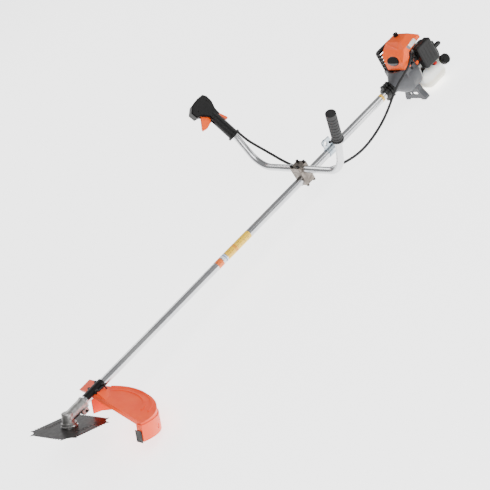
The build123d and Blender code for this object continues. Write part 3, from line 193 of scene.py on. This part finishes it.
def turned_steel(name, dark, light, rough):
    """Machined steel, bright or oxide-blacked: fine tool marks and a tight highlight."""
    made, tree, shader, place = blank(name)
    rings = {"Scale": 260.0, "Distortion": 1.2, "Detail": 2.0, "bands_direction": "Z"}
    marks = node(tree, "ShaderNodeTexWave", rings, {"Vector": place}).outputs["Fac"]
    tree.links.new(tint(tree, place, dark, light, 0.01), shader.inputs["Base Color"])
    bump = node(tree, "ShaderNodeBump", {"Strength": 0.2, "Distance": 0.00003}, {"Height": marks}).outputs[0]
    tree.links.new(bump, shader.inputs["Normal"])
    tree.links.new(spread(tree, place, 0.004, rough - 0.05, rough + 0.08), shader.inputs["Roughness"])
    shader.inputs["Metallic"].default_value = 1.0
    return made


def lacquered_saw_steel(name="lacquered saw steel"):
    """Blade steel under dark brown lacquer: rolled sheet, rubbed thin in places, with faint scratches."""
    made, tree, shader, place = blank(name)
    base = tint(tree, place, "#080504", "#140d0a", 0.03)
    rolling = {"vector_type": "TEXTURE", "Rotation": (0, 0, 0.6), "Scale": (0.05, 0.0016, 0.05)}
    lines = node(tree, "ShaderNodeMapping", rolling, {"Vector": place}).outputs[0]
    scratch = node(tree, "ShaderNodeTexNoise", {"Scale": 1.0, "Detail": 5.0, "Roughness": 0.7},
                   {"Vector": lines}).outputs[0]
    rubbed = {"From Min": 0.62, "From Max": 0.78}
    worn = node(tree, "ShaderNodeMapRange", rubbed, {"Value": scratch}).outputs[0]
    bare = {"data_type": "RGBA", 7: linear("#7a6f68")}
    mix = node(tree, "ShaderNodeMix", bare, {"Factor": worn, 6: base})
    tree.links.new(mix.outputs[2], shader.inputs["Base Color"])
    tree.links.new(spread(tree, place, 0.01, 0.34, 0.55), shader.inputs["Roughness"])
    tree.links.new(grain(tree, place, 0.002, 0.3, 0.00006), shader.inputs["Normal"])
    shader.inputs["Metallic"].default_value = 0.3
    shader.inputs["Specular IOR Level"].default_value = 0.3
    return made


def ribbed_rubber(name, dark, light):
    """Vulcanised rubber: dull, slightly bloomed surface with a fine pebble."""
    made, tree, shader, place = blank(name)
    tree.links.new(tint(tree, place, dark, light, 0.02), shader.inputs["Base Color"])
    tree.links.new(spread(tree, place, 0.01, 0.6, 0.8), shader.inputs["Roughness"])
    pebble = node(tree, "ShaderNodeTexVoronoi", {"Scale": 700.0}, {"Vector": place}).outputs["Distance"]
    bump = node(tree, "ShaderNodeBump", {"Strength": 0.3, "Distance": 0.00008}, {"Height": pebble}).outputs[0]
    tree.links.new(bump, shader.inputs["Normal"])
    return made


def milky_polyethylene(name="blow-moulded polyethylene"):
    """Blow-moulded tank: waxy white that lets light in, a little yellower where fuel has stood."""
    made, tree, shader, place = blank(name)
    height = node(tree, "ShaderNodeSeparateXYZ", links={0: place}).outputs[2]
    low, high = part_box("fuel_tank")
    tall = high[2] - low[2]
    fuel_line = {"From Min": low[2] + 0.4 * tall, "From Max": low[2] + 0.5 * tall}
    level = node(tree, "ShaderNodeMapRange", fuel_line, {"Value": height})
    mix = node(tree, "ShaderNodeMix", {"data_type": "RGBA", 6: linear("#e9e5d6"), 7: linear("#f3f3ef")},
               {"Factor": level.outputs[0]})
    tree.links.new(mix.outputs[2], shader.inputs["Base Color"])
    tree.links.new(spread(tree, place, 0.015, 0.28, 0.42), shader.inputs["Roughness"])
    tree.links.new(grain(tree, place, 0.003, 0.3, 0.0001), shader.inputs["Normal"])
    shader.inputs["Subsurface Weight"].default_value = 0.35
    shader.inputs["Subsurface Radius"].default_value = (0.012, 0.01, 0.008)
    shader.inputs["Subsurface Scale"].default_value = 1.0
    return made


def tinted_muffler_steel(name="heat-tinted sheet steel"):
    """Pressed steel that has run hot: brown and blue bands over dull grey."""
    made, tree, shader, place = blank(name)
    tree.links.new(tint(tree, place, "#4a3b33", "#77706c", 0.02, 0.3, 0.7), shader.inputs["Base Color"])
    tree.links.new(spread(tree, place, 0.008, 0.35, 0.6), shader.inputs["Roughness"])
    tree.links.new(grain(tree, place, 0.004, 0.3, 0.0001), shader.inputs["Normal"])
    shader.inputs["Metallic"].default_value = 1.0
    return made


def printed_film(name="printed label film"):
    """Gloss vinyl labels: flat printed fields of orange, white and yellow with small dark marks."""
    made, tree, shader, place = blank(name)
    turned = along_shaft(tree, place, (1, 1, 1))
    run = node(tree, "ShaderNodeSeparateXYZ", links={0: turned}).outputs
    start = float(np.dot(machine([600, 0, 0]), SHAFT))
    reach = {"From Min": start, "From Max": start + 0.25}
    fields = node(tree, "ShaderNodeMapRange", reach, {"Value": run[0]})
    ramp = node(tree, "ShaderNodeValToRGB", links={"Fac": fields.outputs[0]})
    ramp.color_ramp.interpolation = "CONSTANT"
    stops = (
        (0.0, "#e9702a"), (0.305, "#dfe6ee"), (0.345, "#7c93bd"), (0.36, "#dfe6ee"),
        (0.385, "#f0bf2e"), (0.52, "#e39a22"), (0.56, "#f2c636"), (0.95, "#f0bf2e"),
    )
    ramp.color_ramp.elements[0].color = linear(stops[0][1])
    ramp.color_ramp.elements[1].position = stops[1][0]
    ramp.color_ramp.elements[1].color = linear(stops[1][1])
    for position, code in stops[2:]:
        ramp.color_ramp.elements.new(position).color = linear(code)
    letter = {"vector_type": "TEXTURE", "Scale": (0.006, 0.0045, 0.0045)}
    blocks = node(tree, "ShaderNodeMapping", letter, {"Vector": turned}).outputs[0]
    cells = node(tree, "ShaderNodeTexVoronoi", {"Scale": 1.0, "distance": "CHEBYCHEV", "Randomness": 0.35},
                 {"Vector": blocks}).outputs["Distance"]
    marks = node(tree, "ShaderNodeMath", {"operation": "LESS_THAN", 1: 0.2}, {0: cells}).outputs[0]
    ink = {"data_type": "RGBA", 7: linear("#5a3a20")}
    mix = node(tree, "ShaderNodeMix", ink, {"Factor": marks, 6: ramp.outputs[0]})
    tree.links.new(mix.outputs[2], shader.inputs["Base Color"])
    tree.links.new(spread(tree, place, 0.01, 0.28, 0.38), shader.inputs["Roughness"])
    return made


def braided_nylon(name="braided nylon"):
    """Starter rope: white filaments laid in a tight diagonal braid, about 1.5 mm a crossing."""
    made, tree, shader, place = blank(name)
    braid = {"Scale": 180.0, "bands_direction": "DIAGONAL", "Distortion": 0.5}
    weave = node(tree, "ShaderNodeTexWave", braid, {"Vector": place}).outputs["Fac"]
    tree.links.new(tint(tree, place, "#cfcdc6", "#efeee9", 0.003), shader.inputs["Base Color"])
    bump = node(tree, "ShaderNodeBump", {"Strength": 0.5, "Distance": 0.0003}, {"Height": weave}).outputs[0]
    tree.links.new(bump, shader.inputs["Normal"])
    shader.inputs["Roughness"].default_value = 0.8
    return made


FINISHES = {
    "shaft tube": (drawn_aluminium, (), ("shaft_tube", "handlebar")),
    "head casting": (cast_metal, ("cast aluminium", "#8d8c8a", "#b0afad", 0.4),
                     ("gearcase", "crankcase", "cylinder", "carburettor", "throttle_swivel", "flywheel")),
    "clamp casting": (cast_metal, ("weathered cast aluminium", "#5d5650", "#857d76", 0.42),
                      ("clamp_bottom", "clamp_middle", "clamp_cap")),
    "bright steel": (turned_steel, ("turned bright steel", "#8d8c8a", "#b3b2b0", 0.26),
                     ("drive_shaft", "head_bearings", "bevel_pinion", "output_spindle", "drive_flange",
                      "outer_flange", "blade_nut", "crankshaft", "clutch_drum", "clutch_shoes",
                      "engine_bearings", "spark_plug")),
    "zinc": (turned_steel, ("zinc-plated steel", "#93a0aa", "#c6ced3", 0.3), ("hanger",)),
    "cutter steel": (turned_steel, ("blacked steel strip", "#2b2a29", "#45423f", 0.4), ("line_cutter",)),
    "black screws": (turned_steel, ("oxide-blacked screws", "#1d1c1c", "#343231", 0.38),
                     ("guard_screws", "clamp_screws", "tube_clamp_screws", "body_screws")),
    "muffler": (tinted_muffler_steel, (), ("muffler",)),
    "blade": (lacquered_saw_steel, (), ("blade",)),
    "guard": (moulded_plastic, ("orange polypropylene", "#f0430a", "#f75010", 0.5, 0.0014, 0.00005, 0.4),
              ("guard", "guard_skirt")),
    "cover": (moulded_plastic, ("orange ABS", "#ea4e00", "#f25a02", 0.42, 0.002, 0.00001, 0.3),
              ("engine_cover", "trigger", "lock_lever", "choke_lever")),
    "grey nylon": (moulded_plastic,
                   ("glass-filled grey nylon", "#3f4043", "#4c4d50", 0.48, 0.0012, 0.00004, 0.35),
                   ("clutch_housing", "engine_stand")),
    "black nylon": (moulded_plastic, ("black nylon", "#040404", "#090909", 0.42, 0.0012, 0.00004, 0.25),
                    ("guard_clamp", "handle_inner", "handle_outer", "stop_switch", "neck_collar",
                     "muffler_guard", "cover_knob", "filter_base", "filter_cover", "starter_housing",
                     "starter_pulley", "starter_grip", "fuel_cap", "plug_cap")),
    "rubber": (ribbed_rubber, ("black rubber", "#0d0d0e", "#181819"), ("left_grip", "shaft_bushings")),
    "primer": (moulded_plastic,
               ("clear red rubber", "#a5140f", "#c4231a", 0.25, 0.002, 0.00001, 0.0, 0.3, 0.1),
               ("primer_bulb",)),
    "tank": (milky_polyethylene, (), ("fuel_tank",)),
    "labels": (printed_film, (), ("shaft_labels",)),
    "rope": (braided_nylon, (), ("starter_rope",)),
    "badge": (moulded_plastic, ("gloss black badge", "#050505", "#080808", 0.25, 0.0012, 0.00001), ()),
    "foil": (moulded_plastic, ("silver foil label", "#c9c9c7", "#dededc", 0.35, 0.0012, 0.00001), ()),
    "grey print": (moulded_plastic, ("grey printed foil", "#5d5f63", "#6c6e72", 0.35, 0.0012, 0.00001),
                   ()),
}
MADE = {}


def finish_named(name):
    """The material of one finish, made once."""
    if name not in MADE:
        maker, values, _ = FINISHES[name]
        MADE[name] = maker(*values)
    return MADE[name]


def dress(piece, finish):
    """Puts one finish on every face of a piece."""
    piece.data.materials.clear()
    piece.data.materials.append(finish_named(finish))
    return piece


# ---------------------------------------------------------------- surfaces

def add_mesh(name, points, faces, body, finish, smooth=True):
    """A mesh object at the origin from an array of points and an array of quads, riding on a body."""
    mesh = bpy.data.meshes.new(name)
    mesh.from_pydata(np.asarray(points).reshape(-1, 3).tolist(), [], np.asarray(faces).tolist())
    mesh.validate()
    mesh.shade_smooth() if smooth else mesh.shade_flat()
    made = bpy.data.objects.new(name, mesh)
    bpy.context.scene.collection.objects.link(made)
    dress(made, finish)
    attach(made, body)
    return made


def grid_faces(rows, columns, wrap=False):
    """Quads of a rows by columns grid of points; wrap joins the last column to the first."""
    r, c = np.meshgrid(np.arange(rows - 1), np.arange(columns if wrap else columns - 1), indexing="ij")
    n = (c + 1) % columns
    here, below = r * columns, (r + 1) * columns
    return np.stack([here + c, here + n, below + n, below + c], -1).reshape(-1, 4)


def follow(value, knots):
    """Height of a drawn profile at value: straight between its (place, height) corners."""
    places, heights = np.array(knots, float).T
    return np.interp(value, places, heights)


# Corners of the cover's front as (height, x) and of its left side as (height, y), in machine millimetres.
COVER_FRONT = ((36.4, 1567), (60, 1571), (98, 1592), (114, 1610))
COVER_LEFT = ((0, -52), (62, -60), (98, -58), (118, -36))

BADGE_MIDDLE = (-3.5, 64.5)      # to the right of the shaft's line and above it
BADGE_HALF = (30.5, 15.5)        # half width and half height
BADGE_THICK = 1.6
RIM_SINK = 1.0                   # how far the badge's rim goes into the cover
FILM_PROUD = 0.3                 # how far the label stands off the cover
RIDGE_WIDTH = 7.0
RIDGE_HEIGHT = 1.2
RIDGE_SINK = 0.6                 # how far a ridge's feet go into the cover

# Fields of the side label: the front and back corners of its lower and upper edge as (x, height).
COVER_LABELS = (
    ("cover_label_foil", ((1621, 83.5), (1652, 86)), ((1615, 97.8), (1648.5, 100.6)), "foil"),
    ("cover_label_print", ((1612, 82.6), (1620.6, 83.4)), ((1605.5, 97), (1614.6, 97.7)), "grey print"),
)

# Raised lines pressed into the cover, as corners in machine millimetres with the way each faces.
COVER_RIDGES = (
    (((1650, -34, 117.8), (1610, -31, 114), (1593, -29, 98.9)), (-0.45, -0.1, 0.88)),
    (((1607, 28, 111.3), (1600, 0, 105.1), (1593, -29, 98.9)), (-0.66, 0.0, 0.75)),
    (((1593, -29, 98.9), (1585, -31, 85.3), (1574, -46, 65.4)), (-0.88, 0.0, 0.48)),
)


def badge_points(rings=10, turns=72):
    """Oval badge bent over the cover's front: it stands BADGE_THICK * (1 - r^6) proud, its rim sunk in."""
    around = np.linspace(0, 2 * math.pi, turns, endpoint=False)
    r, a = np.meshgrid(np.linspace(0.02, 1, rings), around, indexing="ij")
    y = BADGE_MIDDLE[0] + BADGE_HALF[0] * r * np.cos(a)
    z = BADGE_MIDDLE[1] + BADGE_HALF[1] * r * np.sin(a)
    x = follow(z, COVER_FRONT) - BADGE_THICK * (1 - r ** 6) + (r > 0.99) * RIM_SINK
    return machine(np.stack([x, y, z], -1))


def label_points(low, high, count=12):
    """Film on the cover's left side between two slanted edges, its rows running back along the shaft."""
    u, v = np.meshgrid(np.linspace(0, 1, count), np.linspace(0, 1, count), indexing="ij")
    low, high = np.array(low, float), np.array(high, float)
    edge_low = low[0] + (low[1] - low[0]) * u[..., None]
    edge_high = high[0] + (high[1] - high[0]) * u[..., None]
    xz = edge_low + (edge_high - edge_low) * v[..., None]
    y = follow(xz[..., 1], COVER_LEFT) - FILM_PROUD
    return machine(np.stack([xz[..., 0], y, xz[..., 1]], -1))


def ridge_points(route, normal):
    """Raised bar along a route of corners: a low trapezium across, its feet sunk into the cover."""
    route = np.array(route, float)
    run = np.gradient(route, axis=0)
    normal = np.array(normal, float) / np.linalg.norm(normal)
    across = np.cross(normal, run)
    across /= np.linalg.norm(across, axis=1, keepdims=True)
    shape = np.array([
        (-RIDGE_WIDTH / 2, -RIDGE_SINK), (-RIDGE_WIDTH / 4, RIDGE_HEIGHT),
        (RIDGE_WIDTH / 4, RIDGE_HEIGHT), (RIDGE_WIDTH / 2, -RIDGE_SINK),
    ])
    return machine(route[:, None] + shape[None, :, :1] * across[:, None] + shape[None, :, 1:] * normal)


# ---------------------------------------------------------------- settings

class CableSettings(bpy.types.PropertyGroup):
    """Sizes of the throttle cable."""
    diameter: FloatProperty(name="Diameter", description="Outside of the cable's sleeve", default=0.0085,
                            unit="LENGTH")
    length: FloatProperty(name="Length", description="Length from the handle to the carburettor",
                          default=0.82, unit="LENGTH")


class StageSettings(bpy.types.PropertyGroup):
    """The camera, floor and lights."""
    lens: FloatProperty(name="Lens", description="Focal length of the camera in millimetres", default=128.4)
    floor: FloatVectorProperty(name="Floor", description="Colour of the floor", subtype="COLOR", size=4,
                               default=(0.9, 0.9, 0.9, 1.0))
    key: FloatProperty(name="Key light", description="Power of the large light", default=120.0,
                       unit="POWER")


# ---------------------------------------------------------------- operators

class CUTTER_OT_finish(bpy.types.Operator):
    """Gives every piece of the frame its material"""
    bl_idname = "cutter.finish"
    bl_label = "Finish the frame"

    def execute(self, context):
        for finish, (_, _, nodes) in FINISHES.items():
            for name in nodes:
                dress(frame["nodes"][name], finish)
        return {"FINISHED"}


# Control points of the throttle cable, from the handle down along the bar and the shaft to the carburettor.
CABLE_ROUTE = (
    (1095.8, 241.3, 150.7), (1098.0, 227.4, 121.9), (1098, 190, 96), (1100, 155, 71), (1101, 113, 41),
    (1104, 72, 14), (1118, 35, -14), (1150, 8, -36), (1205, -14, -56), (1279, -24, -69), (1352, -30, -60),
    (1425, -38, -34), (1500, -46, 13), (1549, -61, 36), (1583, -68, 52), (1611.9, -55.5, 66),
)


class CUTTER_OT_cable(bpy.types.Operator):
    """Lays the throttle cable from the handle to the carburettor"""
    bl_idname = "cutter.cable"
    bl_label = "Throttle cable"

    def execute(self, context):
        values = context.scene.cutter_cable
        curve = bpy.data.curves.new("cable", "CURVE")
        curve.dimensions = "3D"
        curve.bevel_depth = values.diameter / 2
        curve.bevel_resolution = 4
        curve.resolution_u = 12
        curve.use_fill_caps = True
        spline = curve.splines.new("NURBS")
        spline.points.add(len(CABLE_ROUTE) - 1)
        points = machine(CABLE_ROUTE)
        spline.points.foreach_set("co", np.hstack([points, np.ones((len(points), 1))]).ravel())
        spline.order_u = 3
        spline.use_endpoint_u = True
        made = bpy.data.objects.new("cable", curve)
        context.scene.collection.objects.link(made)
        dress(made, "rubber")
        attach(made, "machine")
        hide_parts("throttle_cable")
        return {"FINISHED"}


class CUTTER_OT_cover(bpy.types.Operator):
    """Adds the badge, the label and the raised lines of the engine cover"""
    bl_idname = "cutter.cover"
    bl_label = "Cover trim"

    def execute(self, context):
        points = badge_points()
        faces = grid_faces(*points.shape[:2], wrap=True)
        add_mesh("cover_badge", points, faces, "machine", "badge")
        for name, low, high, finish in COVER_LABELS:
            points = label_points(low, high)
            faces = grid_faces(*points.shape[:2])
            add_mesh(name, points, faces, "machine", finish, smooth=False)
        for number, (route, normal) in enumerate(COVER_RIDGES):
            points = ridge_points(route, normal)
            faces = grid_faces(*points.shape[:2])
            add_mesh(f"cover_ridge_{number}", points, faces, "machine", "cover", smooth=False)
        return {"FINISHED"}


CAMERA_PLACE = (-2.17356, -4.19003, 2.46609)
CAMERA_BACK = (-0.406245, -0.795574, 0.449474)      # from the machine toward the camera
CAMERA_SIDE = (0.617558, -0.601592, -0.506665)      # toward the right of the view
FLOOR_HALF = 40.0
FLOOR_GLOW = 2.6
SKY_GLOW = 0.45
AIM = (0, 0, 0.2)

# Name, place, width in metres and share of the key light's power.
LAMPS = (
    ("key", (-1.5, -2.5, 3.2), 2.5, 1.0),
    ("fill", (3.0, -2.0, 2.0), 2.0, 0.35),
    ("rim", (0.5, 3.0, 2.6), 2.0, 0.4),
)


class CUTTER_OT_stage(bpy.types.Operator):
    """Sets the camera, the pale floor and the soft lights"""
    bl_idname = "cutter.stage"
    bl_label = "Stage"

    def execute(self, context):
        values = context.scene.cutter_stage
        camera = bpy.data.objects.new("camera", bpy.data.cameras.new("camera"))
        camera.data.lens = values.lens
        camera.data.sensor_width = 36.0
        camera.data.clip_end = 50.0
        back = Vector(CAMERA_BACK)
        side = Vector(CAMERA_SIDE)
        turn = Matrix((side, back.cross(side), back)).transposed()
        camera.matrix_world = Matrix.Translation(CAMERA_PLACE) @ turn.to_4x4()
        context.scene.collection.objects.link(camera)
        context.scene.camera = camera

        corners = [(x * FLOOR_HALF, y * FLOOR_HALF, 0) for x, y in ((-1, -1), (1, -1), (1, 1), (-1, 1))]
        floor = bpy.data.meshes.new("floor")
        floor.from_pydata(corners, [], [(0, 1, 2, 3)])
        made = bpy.data.objects.new("floor", floor)
        context.scene.collection.objects.link(made)
        paper, _, shader, _ = blank("matt studio paper")
        shader.inputs["Base Color"].default_value = tuple(values.floor)
        shader.inputs["Roughness"].default_value = 0.9
        shader.inputs["Emission Color"].default_value = (1.0, 1.0, 1.0, 1.0)
        shader.inputs["Emission Strength"].default_value = FLOOR_GLOW
        shader.inputs["Specular IOR Level"].default_value = 0.1
        made.data.materials.append(paper)

        world = bpy.data.worlds.new("studio")
        context.scene.world = world
        world.use_nodes = True
        sky = world.node_tree.nodes["Background"]
        sky.inputs[0].default_value = (1.0, 1.0, 1.0, 1.0)
        sky.inputs[1].default_value = SKY_GLOW
        for name, place, width, share in LAMPS:
            lamp = bpy.data.lights.new(name, "AREA")
            lamp.size = width
            lamp.energy = values.key * share
            holder = bpy.data.objects.new(name, lamp)
            holder.location = place
            holder.rotation_euler = (Vector(place) - Vector(AIM)).to_track_quat("Z", "Y").to_euler()
            context.scene.collection.objects.link(holder)
        return {"FINISHED"}


class CUTTER_PT_panel(bpy.types.Panel):
    """Lists the steps that build the brush cutter"""
    bl_idname = "CUTTER_PT_panel"
    bl_label = "Brush cutter"
    bl_space_type = "VIEW_3D"
    bl_region_type = "UI"
    bl_category = "Brush cutter"

    def draw(self, context):
        for step in STEPS:
            self.layout.operator(step.bl_idname)
        for name in SETTINGS:
            group = getattr(context.scene, name)
            for key in group.__annotations__:
                self.layout.prop(group, key)


SETTINGS = {"cutter_cable": CableSettings, "cutter_stage": StageSettings}
STEPS = (CUTTER_OT_stage, CUTTER_OT_cable, CUTTER_OT_cover, CUTTER_OT_finish)


def register():
    for group in SETTINGS.values():
        bpy.utils.register_class(group)
    for name, group in SETTINGS.items():
        setattr(bpy.types.Scene, name, PointerProperty(type=group))
    for step in STEPS + (CUTTER_PT_panel,):
        bpy.utils.register_class(step)


def unregister():
    for step in reversed(STEPS + (CUTTER_PT_panel,)):
        bpy.utils.unregister_class(step)
    for name in SETTINGS:
        delattr(bpy.types.Scene, name)
    for group in reversed(list(SETTINGS.values())):
        bpy.utils.unregister_class(group)


def main():
    """Registers the add-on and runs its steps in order."""
    register()
    for step in STEPS:
        group, name = step.bl_idname.split(".")
        getattr(getattr(bpy.ops, group), name)()


if __name__ == "__main__":
    main()
